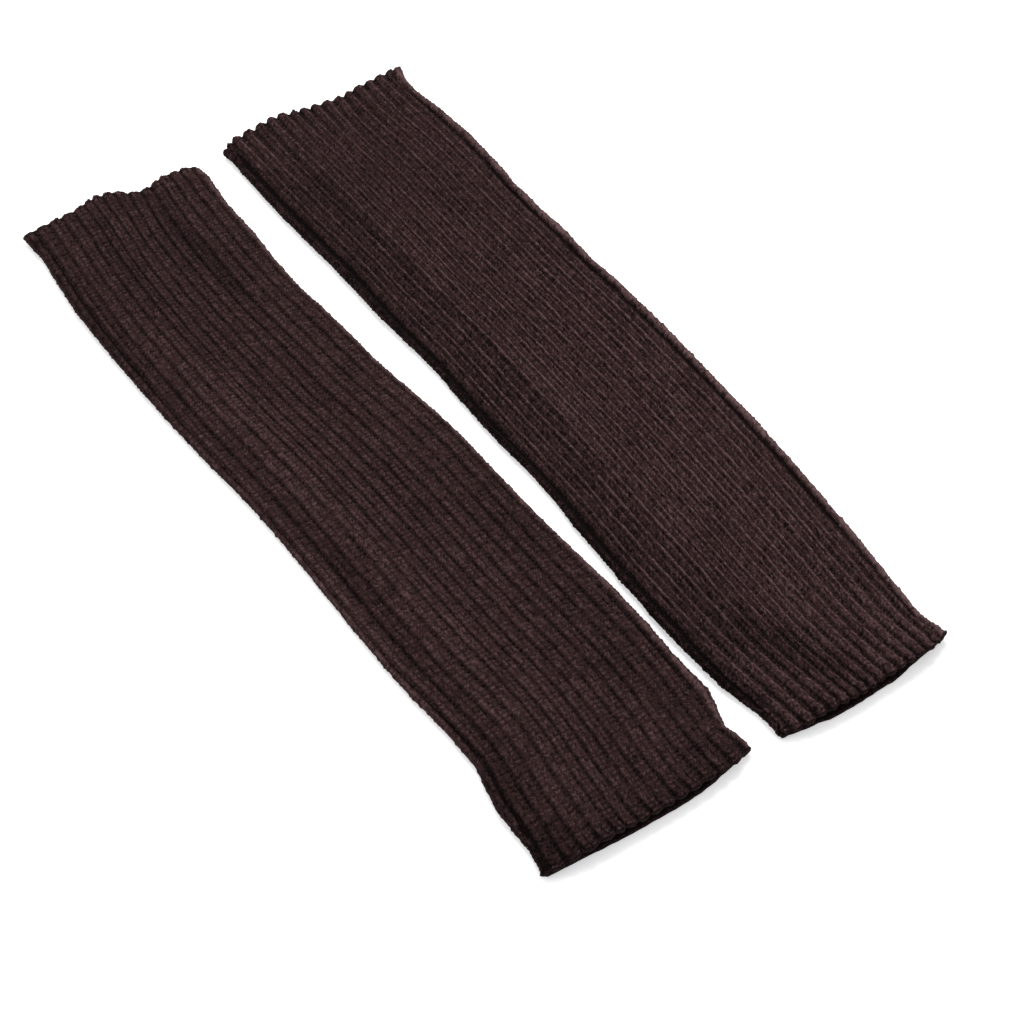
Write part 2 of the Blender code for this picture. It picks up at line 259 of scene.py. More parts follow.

# A warmer's tables:
# spacing: the widths of its ribs beside each other, at shares of the way across its top
# folds: how far the first and last grooves on top lie off their straight places
# gathers: how far the ribs draw together near the ends into round cords
# bands: creases and slow waves along the cloth. Their insets are measured from the left (-1) or the
#   right (1) outline, half is half their width, rise raises the cloth, and tone adds painted light
#   where it is above 0 and painted shade where it is below 0.
LEFT = Warmer(
    name="left_leg_warmer_knit",
    solid="left_leg_warmer",
    ribs=14,
    spacing=(
        Spacing(0.00, 7.0),
        Spacing(0.24, 7.4),
        Spacing(0.30, 5.0),
        Spacing(0.42, 5.6),
        Spacing(1.00, 7.6),
    ),
    folds=(
        FoldPlace(-216.0, -1.8, -1.2),
        FoldPlace(-200.0, 0.0, -1.4),
        FoldPlace(-170.0, 1.2, -1.6),
        FoldPlace(-110.0, -1.0, -0.8),
        FoldPlace(-10.0, -1.2, 0.8),
        FoldPlace(90.0, 0.6, 0.2),
        FoldPlace(150.0, 2.0, -0.5),
        FoldPlace(215.0, 2.4, -0.8),
    ),
    lean=Lean(170.0, 219.0, 3.4),
    rib_form=FACE_FORM,
    stitches=FACE_STITCHES,
    plain_height=1.0,
    plain_tone=0.46,
    border_height=0.45,
    border_tone=0.28,
    left_roll_tone=-0.06,
    right_roll_tone=0.24,
    mottle=0.08,
    uneven=0.16,
    far_calm=0.0,
    groove=0.08,
    near_tips=1.2,
    far_tips=0.3,
    near_scallop=1.2,
    far_scallop=0.4,
    scallop_turn=0.5,
    gathers=(Gather(0.0, 0.0),),
    bands=(
        # the groove beside the left fold, at the near end, with painted shade in it
        Band(-1, 1.1, -1.0, -0.40, (
            Place(-216.0, 1.4, 0.8), Place(-203.0, 3.0, 1.0), Place(-190.0, 4.4, 1.1),
            Place(-165.0, 4.2, 1.0), Place(-140.0, 2.0, 0.8), Place(-100.0, 4.0, 0.0),
        )),
        # the far part of that fold lies in shade, with a thin groove inside it
        Band(-1, 3.6, -0.2, -0.17, (
            Place(70.0, 2.4, 0.0), Place(115.0, 2.4, 1.0), Place(205.0, 2.4, 1.0),
            Place(216.0, 2.4, 0.4),
        )),
        Band(-1, 0.9, -0.5, -0.20, (
            Place(80.0, 8.2, 0.0), Place(120.0, 8.2, 0.8), Place(190.0, 9.4, 0.8),
            Place(212.0, 9.8, 0.0),
        )),
        # the groove beside the right fold, with painted shade in it
        Band(1, 1.1, -1.0, -0.40, (
            Place(-216.0, 4.6, 0.3), Place(-150.0, 5.0, 0.6), Place(-90.0, 4.6, 0.0),
        )),
        # painted light on the left fold, and the trough beside it with painted shade in it
        Band(-1, 3.4, 0.0, 0.12, (
            Place(-170.0, 1.0, 0.0), Place(-150.0, 1.0, 1.0), Place(-60.0, 1.0, 1.0),
            Place(-10.0, 1.0, 0.0),
        )),
        Band(-1, 5.0, -0.5, -0.11, (
            Place(-216.0, 9.0, 0.8), Place(-150.0, 11.0, 0.8), Place(-40.0, 11.5, 1.1),
            Place(50.0, 10.0, 0.8), Place(100.0, 8.0, 0.3), Place(216.0, 6.0, 0.2),
        )),
        # two troughs that run in from the far end, with painted shade in them
        Band(-1, 4.6, -0.6, -0.15, (
            Place(-30.0, 54.0, 0.0), Place(10.0, 54.0, 0.2), Place(60.0, 62.0, 0.5),
            Place(90.0, 66.0, 0.3), Place(120.0, 68.0, 0.8), Place(170.0, 64.0, 1.0),
            Place(190.0, 62.0, 0.8), Place(216.0, 62.0, 0.3),
        )),
        Band(-1, 5.0, -0.3, -0.08, (
            Place(110.0, 32.0, 0.0), Place(150.0, 32.0, 0.6), Place(185.0, 31.0, 1.0),
            Place(216.0, 31.0, 0.2),
        )),
        # shade at the near left corner, along the near end and over the far part
        Band(-1, 3.5, 0.0, -0.22, (
            Place(-216.0, 0.0, 1.0), Place(-170.0, 0.0, 1.0), Place(-130.0, 0.0, 0.0),
        )),
        Band(-1, 7.0, 0.0, -0.06, (
            Place(-216.0, 5.0, 0.6), Place(-200.0, 7.0, 1.0), Place(-180.0, 9.0, 0.8),
            Place(-160.0, 10.0, 0.0),
        )),
        Band(-1, WHOLE_WIDTH, 0.0, -0.11, (
            Place(-216.0, 45.0, 1.0), Place(-205.0, 45.0, 0.6), Place(-190.0, 45.0, 0.0),
        )),
        Band(-1, WHOLE_WIDTH, 0.0, -0.04, (
            Place(60.0, 45.0, 0.0), Place(140.0, 45.0, 1.0), Place(216.0, 45.0, 1.0),
        )),
        # the soft rise along the middle with painted light on it, and the trough right of it with painted
        # shade
        Band(-1, 9.0, 0.2, 0.06, (
            Place(-200.0, 40.0, 0.0), Place(-150.0, 38.0, 0.6), Place(-100.0, 33.0, 1.0),
            Place(0.0, 22.0, 1.0), Place(90.0, 25.0, 0.7), Place(140.0, 25.0, 0.0),
        )),
        Band(1, 9.0, -0.3, -0.05, (
            Place(-200.0, 15.0, 1.0), Place(-60.0, 15.0, 1.0), Place(0.0, 12.0, 0.0),
        )),
    ),
    seed=11,
)
RIGHT = Warmer(
    name="right_leg_warmer_knit",
    solid="right_leg_warmer",
    ribs=15,
    spacing=(
        Spacing(0.00, 6.6),
        Spacing(0.28, 7.5),
        Spacing(0.36, 5.4),
        Spacing(0.60, 6.5),
        Spacing(1.00, 7.2),
    ),
    folds=(
        FoldPlace(-215.0, -0.6, -0.6),
        FoldPlace(-150.0, 0.6, -0.9),
        FoldPlace(-60.0, -0.4, -1.2),
        FoldPlace(20.0, 0.0, -1.2),
        FoldPlace(110.0, 2.0, -1.2),
        FoldPlace(215.0, 0.8, -0.8),
    ),
    lean=Lean(170.0, 219.0, 0.0),
    rib_form=REVERSE_FORM,
    stitches=REVERSE_STITCHES,
    plain_height=0.2,
    plain_tone=0.4,
    border_height=0.0,
    border_tone=0.10,
    left_roll_tone=-0.34,
    right_roll_tone=0.42,
    mottle=0.15,
    uneven=0.32,
    far_calm=0.30,
    groove=0.25,
    near_tips=1.2,
    far_tips=0.8,
    near_scallop=1.2,
    far_scallop=1.3,
    scallop_turn=0.88,
    gathers=(
        Gather(-212.0, 0.85),
        Gather(-185.0, 0.65),
        Gather(-135.0, 0.0),
        Gather(165.0, 0.0),
        Gather(195.0, 0.3),
        Gather(214.0, 0.6),
    ),
    bands=(
        # the grooves beside the left and the right fold, with painted shade in them
        Band(-1, 1.4, -1.5, -0.90, (
            Place(-216.0, 1.4, 0.0), Place(-185.0, 1.8, 0.7), Place(-150.0, 3.8, 1.0),
            Place(-90.0, 2.8, 1.0), Place(0.0, 2.0, 0.9), Place(60.0, 3.0, 1.0),
            Place(110.0, 4.6, 1.1), Place(180.0, 3.8, 1.1), Place(216.0, 3.4, 0.6),
        )),
        Band(1, 0.7, -0.9, -0.34, (
            Place(-216.0, 3.4, 1.2), Place(-160.0, 3.7, 1.2), Place(-120.0, 4.4, 1.0),
            Place(120.0, 4.7, 1.1), Place(216.0, 4.4, 0.7),
        )),
        # shade over the far part
        Band(-1, WHOLE_WIDTH, 0.0, -0.02, (
            Place(60.0, 45.0, 0.0), Place(140.0, 45.0, 1.0), Place(216.0, 45.0, 1.0),
        )),
        # the cloth slopes down to the left fold, and a trough and a rise follow: painted shade on the
        # slope
        #   and in the trough, painted light on the rise
        Band(-1, 15.0, -0.3, -0.11, (
            Place(-190.0, 12.0, 0.0), Place(-120.0, 13.0, 0.8), Place(0.0, 14.0, 1.0),
            Place(150.0, 15.0, 0.8), Place(216.0, 15.0, 0.0),
        )),
        Band(-1, 2.6, -0.5, -0.14, (
            Place(-100.0, 26.0, 0.0), Place(0.0, 27.5, 0.4), Place(110.0, 27.0, 0.9),
            Place(170.0, 25.0, 1.0), Place(216.0, 24.0, 0.4),
        )),
        Band(-1, 6.0, 0.25, 0.04, (
            Place(-150.0, 31.0, 0.3), Place(-100.0, 33.0, 0.7), Place(0.0, 35.0, 1.0),
            Place(100.0, 36.0, 1.0), Place(180.0, 36.0, 0.0),
        )),
        # the trough that crosses the near part aslant, with painted shade in it, and the cloth right of
        # it,
        #   paler with painted light
        Band(-1, 8.0, -0.6, -0.20, (
            Place(-216.0, 40.0, 0.5), Place(-200.0, 36.0, 1.0), Place(-175.0, 30.0, 0.9),
            Place(-150.0, 25.0, 0.4), Place(-125.0, 23.0, 0.0),
        )),
        Band(-1, 27.0, 0.0, 0.06, (
            Place(-216.0, 62.0, 0.5), Place(-170.0, 60.0, 1.0), Place(-100.0, 60.0, 1.0),
            Place(-30.0, 65.0, 0.3), Place(50.0, 65.0, 0.0),
        )),
        # the trough near the far end, with painted shade in it
        Band(-1, 7.0, -0.3, -0.07, (
            Place(110.0, 68.0, 0.0), Place(160.0, 68.0, 0.9), Place(200.0, 69.0, 0.8),
            Place(216.0, 69.0, 0.0),
        )),
    ),
    seed=23,
)


def smooth(value):
    """0 to 1 with a level start and end."""
    value = np.clip(value, 0.0, 1.0)
    return value * value * (3.0 - 2.0 * value)


def table_value(rows, key, column, places):
    """A table's column at some places, on straight lines between its rows."""
    return np.interp(places, [getattr(row, key) for row in rows], [getattr(row, column) for row in rows])


def sample(grid, across, along):
    """A grid's values at shares across and along it, both from 0 to 1, blended smoothly."""
    u = np.clip(across, 0.0, 1.0) * (grid.shape[0] - 1)
    v = np.clip(along, 0.0, 1.0) * (grid.shape[1] - 1)
    i = np.minimum(u.astype(int), grid.shape[0] - 2)
    j = np.minimum(v.astype(int), grid.shape[1] - 2)
    u = smooth(u - i)
    v = smooth(v - j)
    low = grid[i, j] * (1 - v) + grid[i, j + 1] * v
    high = grid[i + 1, j] * (1 - v) + grid[i + 1, j + 1] * v
    return low * (1 - u) + high * u


def wander(random, across, along, knots_across, knots_along):
    """Slow random drift, from -1 to 1, with so many knots across and along."""
    knots = random.uniform(-1.0, 1.0, (knots_across, knots_along))
    return sample(knots, across, along)


def drift(random, waves, share, place, knots=0):
    """Several slow drifts on top of each other. Those with no knots of their own across take these."""
    total = 0.0
    for wave in waves:
        total = total + wave.size * wander(random, share, place, wave.across or knots, wave.along)
    return total


def softened(values, passes):
    """Values in a row, or the rows of a grid, with small steps between neighbours taken out."""
    for _ in range(passes):
        padded = np.concatenate([values[:1], values, values[-1:]])
        values = (padded[:-2] + 2 * padded[1:-1] + padded[2:]) / 4
    return values


class Solid:
    """What the knitting has to know of the plain solid below it, read from the solid with rays."""

    def __init__(self, node):
        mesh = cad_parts[node].data
        points = [vertex.co / MM for vertex in mesh.vertices]
        faces = [tuple(face.vertices) for face in mesh.polygons]
        self.tree = BVHTree.FromPolygons(points, faces)
        low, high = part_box(node)
        self.low = low / MM
        self.high = high / MM
        self.sides = {side: self.read_side(side) for side in (-1, 1)}
        self.calm = {side: softened(line[:, 1], CALMING) for side, line in self.sides.items()}
        self.shares = np.linspace(0.0, 1.0, READ_ACROSS)
        self.edge_shares = np.linspace(0.0, 1.0, EDGE_PLACES)
        self.edges = {}
        for end in (-1, 1):
            for layer in (0, 1):
                self.edges[end, layer] = self.read_edge(end, layer)
        self.near = float(self.edges[-1, 1].mean())
        self.far = float(self.edges[1, 1].mean())
        self.slit = self.read_slit()

    def ray(self, start, way):
        return self.tree.ray_cast(Vector(start), Vector(way))[0]

    def roof(self, across, along):
        """Height of the upper layer's inner side. A ray that slips between two faces is sent again."""
        for slip in ROOF_SLIPS:
            hit = self.ray((across + slip, along + slip / 2, IN_SLIT), (0, 0, 1))
            if hit is not None:
                return hit.z
        raise ValueError(f"the slit has no roof at {across:.1f}, {along:.1f}")

    def read_side(self, side):
        """(along, across) up one side's outline, walked from its middle to both corners."""
        outside = self.high.x + SIDE_START if side > 0 else self.low.x - SIDE_START
        middle = (self.low.y + self.high.y) / 2
        walks = []
        for way in (-1, 1):
            walk = []
            along = middle
            hit = self.ray((outside, along, SIDE_HEIGHT), (-side, 0, 0))
            while hit is not None and (not walk or abs(hit.x - walk[-1][1]) < SIDE_JUMP):
                walk.append((along, hit.x))
                along += way * SIDE_STEP
                hit = self.ray((outside, along, SIDE_HEIGHT), (-side, 0, 0))
            walks.append(walk)
        line = np.array(walks[0][::-1] + walks[1][1:])
        line[:, 1] = softened(line[:, 1], 1)
        return line

    def across(self, along):
        """The outline's left and right at some places along."""
        left = np.interp(along, self.sides[-1][:, 0], self.sides[-1][:, 1])
        right = np.interp(along, self.sides[1][:, 0], self.sides[1][:, 1])
        return left, right

    def calm_across(self, along):
        """Left and right of the outline without its short bends, which the ribs don't follow."""
        left = np.interp(along, self.sides[-1][:, 0], self.calm[-1])
        right = np.interp(along, self.sides[1][:, 0], self.calm[1])
        return left, right

    def upper_end(self, across, end):
        """Walks in from outside an end until the upper layer lies below."""
        limit = self.low.y if end < 0 else self.high.y
        for step in range(int(EDGE_DEPTH / EDGE_STEP)):
            along = limit - end * step * EDGE_STEP
            hit = self.ray((across, along, self.high.z + END_START), (0, 0, -1))
            if hit is not None and hit.z > SIDE_HEIGHT:
                return along
        return math.nan

    def lower_end(self, across, end):
        limit = self.low.y if end < 0 else self.high.y
        hit = self.ray((across, limit + end * END_START, LOWER_MIDDLE), (0, -end, 0))
        return hit.y if hit is not None and abs(hit.y - limit) < EDGE_DEPTH else math.nan

    def read_edge(self, end, layer):
        """How far along a layer's edge lies at each share across, at the near (-1) or far (1) end."""
        find = self.upper_end if layer else self.lower_end
        limit = self.low.y if end < 0 else self.high.y
        places = []
        for share in np.clip(self.edge_shares, CORNER_SHARE, 1.0 - CORNER_SHARE):
            place = limit - end * EDGE_DEPTH / 4
            for _ in range(2):
                left, right = self.across(place)
                found = find(left + share * (right - left), end)
                place = found if math.isfinite(found) else place
            places.append(found)
        places = np.array(places)
        known = np.isfinite(places)
        return softened(np.interp(self.edge_shares, self.edge_shares[known], places[known]), 1)

    def edge(self, end, share, layer):
        upper = np.interp(share, self.edge_shares, self.edges[end, 1])
        lower = np.interp(share, self.edge_shares, self.edges[end, 0])
        return upper * layer + lower * (1 - layer)

    def read_slit(self):
        """Heights of the upper layer's plain inner side, over shares across and along."""
        grid = np.zeros((READ_ACROSS, READ_ALONG))
        for row, part in enumerate(np.linspace(0.0, 1.0, READ_ALONG)):
            along = self.near + part * (self.far - self.near)
            for column, share in enumerate(self.shares):
                near = self.edge(-1, share, 1) + READ_INSIDE
                far = self.edge(1, share, 1) - READ_INSIDE
                place = min(max(along, near), far)
                left, right = self.across(place)
                across = left + SLIT_MARGIN + share * (right - left - 2 * SLIT_MARGIN)
                grid[column, row] = self.roof(across, place)
        return softened(softened(grid, 1).T, 2).T

    def nearness(self, along, reach):
        """1 at the near and at the far end, sinking to 0 at a reach back from each."""
        near = smooth(1.0 - (along - self.near) / reach)
        far = smooth(1.0 - (self.far - along) / reach)
        return near, far

    def slit_top(self, across, along):
        left, right = self.across(along)
        share = (across - left - SLIT_MARGIN) / (right - left - 2 * SLIT_MARGIN)
        return sample(self.slit, share, (along - self.near) / (self.far - self.near))


def rib_borders(warmer):
    """Shares of the upper layer's width at which one rib ends and the next begins."""
    middles = (np.arange(warmer.ribs) + 0.5) / warmer.ribs
    widths = table_value(warmer.spacing, "share", "width", middles)
    return np.concatenate([[0.0], np.cumsum(widths)]) / widths.sum()


def stitch_lines(stitch, low, high, rib, form):
    """The lines of one stitch, whose phase from 0 to 1 runs from low to high."""
    lines = []
    for point in stitch.form:
        phase = stitch.start + (stitch.end - stitch.start) * point.part
        height = float(table_value(form, "phase", "height", phase % 1.0))
        tone = float(table_value(form, "phase", "tone", phase % 1.0))
        part = low + (high - low) * phase
        lines.append(Line(part, rib, phase, height, tone, point.lean, point.crest, point.dip))
    return lines


def top_lines(warmer):
    """Every line of stitches on the upper layer, from the first rib border to the last."""
    borders = rib_borders(warmer)
    first = warmer.stitches[0]
    plain = first._replace(form=PURL)
    lines = []
    for rib in range(warmer.ribs + 1):
        if 0 < rib < warmer.ribs:
            lines += stitch_lines(first, borders[rib], borders[rib + 1], rib, warmer.rib_form)
        else:
            low = borders[rib]
            border = stitch_lines(plain, low, low + 1.0 / warmer.ribs, rib, warmer.rib_form)
            # the first and the last border lie in the grooves beside the folds and get painted shade
            height, tone = warmer.border_height, warmer.border_tone
            lines += [line._replace(height=height, tone=tone) for line in border]
        if rib < warmer.ribs:
            for stitch in warmer.stitches[1:]:
                lines += stitch_lines(stitch, borders[rib], borders[rib + 1], rib, warmer.rib_form)
    return lines


def roll_lines(rib):
    """The lines of one side fold, from the top to the underside."""
    lines = []
    for stitch in ROLL_STITCHES:
        lines += stitch_lines(stitch, 0.0, 1.0, rib, ROLL_FORM)
    return lines


def under_lines(warmer):
    lines = []
    for rib in range(warmer.ribs):
        for point in UNDER_FORM:
            part = (rib + point.phase) / warmer.ribs
            lines.append(Line(part, rib, *point, 0.0, UNDER_CREST, -UNDER_CREST))
    return lines


class Ring:
    """All lines round a tube: the top from left to right, the right fold, the underside from right to
    left and the left fold. The fields of a line are arrays here, with a row for each line."""

    def __init__(self, warmer):
        right = roll_lines(warmer.ribs + 1)
        left = [line._replace(part=1.0 - line.part, rib=warmer.ribs + 2) for line in reversed(right)]
        groups = (top_lines(warmer), right, under_lines(warmer), left)
        lines = [line for group in groups for line in group]
        self.count = len(lines)
        self.zone = np.repeat(range(len(groups)), [len(group) for group in groups])[:, None]
        for name in Line._fields:
            setattr(self, name, np.array([getattr(line, name) for line in lines], dtype=float)[:, None])
        # painted light on the right fold and painted shade on the left fold, from the top down
        self.tone = self.tone + warmer.right_roll_tone * (self.zone == 1) * (self.part < ROLL_SHARE)
        self.tone = self.tone + warmer.left_roll_tone * (self.zone == 3) * (self.part > 1.0 - ROLL_SHARE)
        self.calm = np.where(self.zone == 0, 1.0, ROLL_CALM)
        self.under = self.zone == 2
        self.half_border = warmer.stitches[0].end * RIB_WIDTH

    def arc(self, warmer, solid, along):
        """How far round the section each line lies, from the left end of its flat top."""
        left, right = solid.across(along)
        calm_left, calm_right = solid.calm_across(along)
        width = right - left - 2 * SIDE_ROLL
        first = table_value(warmer.folds, "along", "first", along) + calm_left - left
        last = table_value(warmer.folds, "along", "last", along) + calm_right - right
        first = np.maximum(first, -SIDE_ROLL * FOLD_LIMIT)
        last = np.minimum(last, SIDE_ROLL * FOLD_LIMIT)
        length = roll_length()
        lean = warmer.lean
        ramp = np.clip((along - lean.start) / (lean.end - lean.start), 0.0, LEAN_LIMIT) ** LEAN_CURVE
        shift = lean.shift * ramp * np.sin(math.pi * np.clip(self.part, 0.0, 1.0))
        top = first + self.part * (width + last - first) + shift
        start = last + self.half_border
        right = width + start + self.part * (length - start)
        below = width + length + self.part * width
        end = 2 * width + 2 * length + first - self.half_border
        left = 2 * width + length + self.part * (end - 2 * width - length)
        return np.select([self.zone == 0, self.zone == 1, self.zone == 2], [top, right, below], left)


def roll_length():
    """Half the way round a side fold's oval."""
    return math.pi * (SIDE_ROLL + SIDE_HEIGHT) / 2


def section_points(solid, along, arc, relief):
    """Points at a way round the section, standing off its grooves by relief."""
    left, right = solid.across(along)
    width = right - left - 2 * SIDE_ROLL
    length = roll_length()
    arc = np.mod(arc, 2 * width + 2 * length)
    zones = [arc < width, arc < width + length, arc < 2 * width + length]

    turn_right = math.pi * (0.5 - (arc - width) / length)
    turn_left = math.pi * (0.5 + (2 * width + 2 * length - arc) / length)
    angle = np.select(zones, [math.pi / 2 + 0 * arc, turn_right, -math.pi / 2 + 0 * arc], turn_left)
    top_across = left + SIDE_ROLL + arc
    under_across = right - SIDE_ROLL - (arc - width - length)
    across = np.select(zones, [top_across, right - SIDE_ROLL, under_across], left + SIDE_ROLL)

    top = solid.slit_top(across, along) + UPPER_WALL
    middle = (top + UNDER_GROOVE) / 2
    half = (top - UNDER_GROOVE) / 2
    x = across + np.cos(angle) * (SIDE_ROLL - ROLL_BELOW + relief)
    z = middle + np.sin(angle) * (half + relief)
    return x, z, np.clip(z / (top + USUAL_RELIEF), 0.0, 1.0)


def band_totals(bands, along, from_left, from_right):
    """How far the creases and slow waves of the cloth raise it, and the painted light and shade they add
    to its tone.
    """
    rise = 0.0 * along
    tone = 0.0 * along
    for band in bands:
        inset = from_left if band.side < 0 else from_right
        middle = table_value(band.places, "along", "inset", along)
        strength = table_value(band.places, "along", "strength", along)
        strength = strength * np.exp(-(np.abs((inset - middle) / band.half) ** 3))
        rise = rise + band.rise * strength
        tone = tone + band.tone * strength
    return rise, tone


class Stitches:
    """Where each point lies, and how each stitch differs by chance from the next. The arrays have a row
    for each line round the tube and a column for each half row of stitches along it."""

    def __init__(self, warmer, ring, rows, random):
        row = np.arange(rows)[None, :]
        index = np.arange(ring.count)[:, None]
        settled = np.clip(np.minimum(row, rows - 1 - row) / EVEN_ROWS, 0.0, 1.0)
        self.place = (row + 2.0 * ring.lean * settled) / (rows - 1.0)
        self.round_share = index / ring.count + 0.0 * row
        self.rib_share = ring.rib / (warmer.ribs + 2.0) + 0.0 * row

        # the stitch that each point belongs to
        shape = (ring.count // STITCH_LINES + 1, rows // 2 + 2)
        own = (index // STITCH_LINES + 0 * row, (row + 1) // 2 + 0 * index)
        self.strength = random.uniform(*STITCH_STRENGTH, shape)[own]
        self.tone = random.normal(0.0, 1.0, shape)[own]
        self.across = random.uniform(-1.0, 1.0, shape)[own]
        self.along = random.uniform(-1.0, 1.0, shape)[own]
        self.loop = np.where(row % 2 == 0, ring.crest, ring.dip) * self.strength * ring.calm
        self.mottle = random.normal(0.0, 1.0, own[0].shape) / ring.calm**MOTTLE_CURVE


def stitch_relief(warmer, stitches, height, tips, settings):
    """How far each point stands off the bottoms of the grooves, which are deeper between the tips."""
    relief = height * (RIB_EVENNESS + (1.0 - RIB_EVENNESS) * stitches.strength) * settings.rib_height / MM
    relief = relief + (np.minimum(height, 1.0) - 1.0) * warmer.groove * (1.0 + tips)
    return relief + stitches.loop * settings.stitch_depth / MM + FUZZ * stitches.mottle


def bent_to_edges(warmer, solid, along, share, layer, scallop):
    """Bends the rows near an end to its uneven edge, which is scalloped by the ribs."""
    near_shift = solid.edge(-1, share, layer) - solid.near - scallop * warmer.near_scallop / 2
    far_shift = solid.edge(1, share, layer) - solid.far + scallop * warmer.far_scallop / 2
    near_bend, far_bend = solid.nearness(along, END_REACH)
    return along + near_shift * near_bend + far_shift * far_bend


def knit_grid(warmer, solid, ring, settings):
    """The outer surface: points, by line round the tube and row along it, and the yarn's tone at each."""
    random = np.random.default_rng(warmer.seed)
    rows = 2 * int(round((solid.far - solid.near) / (settings.row_height / MM))) + 1
    stitches = Stitches(warmer, ring, rows, random)
    place = stitches.place
    on_top = ring.zone == 0

    start = solid.near + RIM_BULGE
    finish = solid.far - RIM_BULGE
    shift = STITCH_SHIFT + UNEVEN_ALONG * warmer.uneven
    along = start + place * (finish - start)
    along = along + drift(random, ROW_WAVES, stitches.round_share, place) + shift * stitches.along
    along = along + POINT_ALONG * random.uniform(-1.0, 1.0, along.shape)

    # whole ribs drift to and fro, and their grooves fade in and out
    knots = warmer.ribs + 3
    arc = ring.arc(warmer, solid, along) + drift(random, RIB_WAVES, stitches.rib_share, place, knots)
    arc = arc + UNEVEN_ACROSS * warmer.uneven * stitches.across
    arc = arc + POINT_ACROSS * random.uniform(-1.0, 1.0, arc.shape)
    fade = 1.0 + drift(random, FADE_WAVES, stitches.rib_share, place, knots)
    height = warmer.plain_height + (ring.height - warmer.plain_height) * fade
    clear = 1.0 - warmer.far_calm * smooth((along - CALM_START) / CALM_REACH)
    contrast = fade * clear * (1.0 + warmer.uneven * (stitches.strength - 1.0))
    tone = warmer.plain_tone + (ring.tone - warmer.plain_tone) * contrast

    # near the ends the ribs draw together into cords, which part into rounded tips
    near_end, far_end = solid.nearness(along, TIP_REACH)
    tips = near_end * warmer.near_tips + far_end * warmer.far_tips
    scallop = (2.0 * np.abs(np.cos(math.pi * (ring.phase - warmer.scallop_turn))) - 1.0) * on_top
    cord = 0.5 + 0.5 * scallop
    gathered = table_value(warmer.gathers, "along", "share", along) * on_top
    # painted shade down between the gathered cords and painted light on them
    gathered_light_and_shade = GATHERED_GROOVE_SHADE + (GATHERED_CORD_LIGHT - GATHERED_GROOVE_SHADE) * cord**GATHERED_CURVE
    tone = tone + (gathered_light_and_shade - tone) * gathered
    gathered = np.maximum(gathered, TIP_SHARE * (near_end + far_end) * on_top)
    height = height + (cord - height) * gathered

    relief = stitch_relief(warmer, stitches, height, tips, settings)
    x, z, layer = section_points(solid, along, arc, relief)
    left, right = solid.across(along)
    rise, band_light_and_shade = band_totals(warmer.bands, along, x - left, right - x)
    relief = relief + np.where((z > SIDE_HEIGHT) & ~ring.under, rise, 0.0)
    relief = np.maximum(relief, THINNEST_WALL - UPPER_WALL)
    relief = np.where(ring.under, ring.height * UNDER_GROOVE + UNDER_DEPTH * stitches.loop, relief)

    share = np.clip((x - left) / (right - left), 0.0, 1.0)
    along = bent_to_edges(warmer, solid, along, share, layer, scallop)
    x, z, _ = section_points(solid, along, arc, relief)
    upper = ~ring.under * np.clip((z - SIDE_HEIGHT) / SWELL_FADE, 0.0, 1.0)
    z = np.maximum(z + drift(random, SWELL_WAVES, stitches.round_share, place) * upper, 0.0)

    # painted highlights on the loops' crests and painted shade in their hollows
    tone = tone + LOOP_LIGHT_AND_SHADE * (1.0 + gathered) * stitches.loop
    tone = tone + STITCH_TONE * np.clip(stitches.tone, -STITCH_TONE_LIMIT, STITCH_TONE_LIMIT)
    tone = tone + warmer.mottle * clear * np.clip(stitches.mottle, -MOTTLE_LIMIT, MOTTLE_LIMIT)
    # the bands' painted light and shade, on the upper layer and the side folds
    tone = tone + np.where(~ring.under & (z > LOWER_MIDDLE), band_light_and_shade, 0.0)
    tone = tone + drift(random, TONE_WAVES, stitches.round_share, place)
    tone = tone - TIP_SHADE * np.minimum(tips, 1.0) * (1.0 - height)
    return np.stack([x, along, z], axis=2), np.clip(tone, *TONE_LIMITS)


def inside_grid(solid, outer):
    """The plain inner side, from the far end to the near end, with a point for every outer line."""
    last = outer.shape[1] - 1
    parts = [1.0 - part for part in INSIDE_PLACES] + list(reversed(INSIDE_PLACES))
    rings = []
    for part in parts:
        ring = outer[:, int(round(part * last))]
        left, right = solid.across(ring[:, 1])
        x = np.clip(ring[:, 0], left + SLIT_MARGIN, right - SLIT_MARGIN)
        z = np.where(ring[:, 2] > SIDE_HEIGHT, solid.slit_top(x, ring[:, 1]), LOWER_TOP)
        rings.append(np.stack([x, ring[:, 1], z], axis=1))
    return np.stack(rings, axis=1)


def rim(start_ring, end_ring, outward):
    """Rings that round the cloth's edge over from one side of the wall to the other."""
    middle = (start_ring + end_ring) / 2
    half = (start_ring - end_ring) / 2
    rings = []
    for step in range(1, RIM_STEPS + 1):
        angle = math.pi * step / (RIM_STEPS + 1)
        ring = middle + half * math.cos(angle)
        ring[:, 1] += outward * RIM_BULGE * math.sin(angle)
        rings.append(ring)
    return np.stack(rings, axis=1)


def stitch_map(lines, rings, corner):
    """Texture places for every face corner, one unit to a stitch and to a row."""
    around = np.repeat(np.arange(lines), rings)
    along = np.tile(np.arange(rings), lines)
    u = around[corner] / STITCH_LINES
    v = along[corner] / 2.0
    u = np.where(u < u[:, :1] - 1.0, u + lines / STITCH_LINES, u)
    v = np.where(v < v[:, :1] - 1.0, v + rings / 2.0, v)
    return np.stack([u, v], axis=2)


